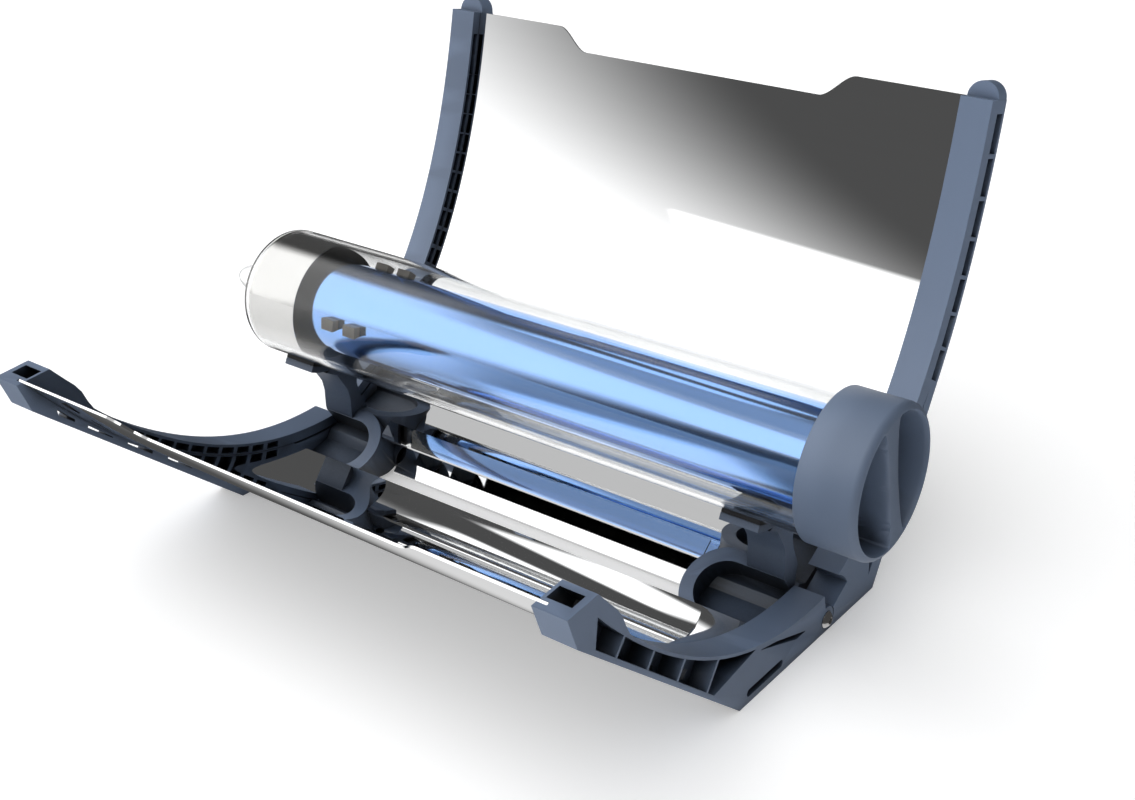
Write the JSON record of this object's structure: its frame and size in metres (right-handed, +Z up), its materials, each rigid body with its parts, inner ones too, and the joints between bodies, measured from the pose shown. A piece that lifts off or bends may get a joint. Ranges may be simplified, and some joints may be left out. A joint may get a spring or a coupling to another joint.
{
  "type": "solar oven",
  "caption": "Folding trough solar oven: a vacuum glass cooking tube on a cradle between two curved mirrors, with an end cap that draws out a cooking tray.",
  "frame": {"origin": "middle of the footprint box, on the ground that the oven stands on", "axes": "+X along the tube to the cap, +Y to the upright rear mirror, +Z up"},
  "size_m": [0.3462, 0.2993, 0.2019],
  "materials": {
    "slate_plastic": "moulded glass-filled nylon, slate blue-grey, fine matte grain",
    "cap_silicone": "moulded silicone, slate blue-grey, matte",
    "soft_pad": "dark silicone, matte",
    "polished_sheet": "bright anodised aluminium mirror sheet",
    "stainless": "stainless steel, satin",
    "silver_film": "silvery getter film inside the glass",
    "clear_glass": "clear borosilicate glass, polished",
    "coated_glass": "borosilicate glass under a deep blue selective coating"
  },
  "bodies": {
    "rear_frame": {"rear_left_arm": "slate_plastic", "rear_right_arm": "slate_plastic", "rear_reflector": "polished_sheet", "hinge_screws": "stainless", "hinge_nuts": "stainless", "hinge_washers": "stainless"},
    "front_frame": {"front_left_arm": "slate_plastic", "front_right_arm": "slate_plastic", "front_reflector": "polished_sheet"},
    "tube_cradle": {"left_cradle": "slate_plastic", "right_cradle": "slate_plastic", "left_tube_pad": "soft_pad", "right_tube_pad": "soft_pad", "outer_glass": "clear_glass", "silvered_band": "silver_film", "absorber_glass": "coated_glass", "spring_clip": "stainless"},
    "cap_and_tray": {"cap": "cap_silicone", "plug": "soft_pad", "plug_disc": "stainless", "tray_rod": "stainless", "rod_nut": "stainless", "cooking_tray": "stainless"}
  },
  "joints": [
    {"name": "front_fold", "type": "hinge", "parent": "rear_frame", "child": "front_frame", "pos_m": [0, 0.02443, 0.006], "axis": [1, 0, 0], "range_deg": [-70, 0]},
    {"name": "cradle_swing", "type": "hinge", "parent": "rear_frame", "child": "tube_cradle", "pos_m": [0, 0.02443, 0.006], "axis": [1, 0, 0], "range_deg": [-35, 0]},
    {"name": "tray_slide", "type": "slide", "parent": "tube_cradle", "child": "cap_and_tray", "axis": [1, 0, 0], "range_m": [0, 0.26]}
  ],
  "couplings": [
    {"joint": "cradle_swing", "follows": "front_fold", "ratio": 0.5}
  ]
}
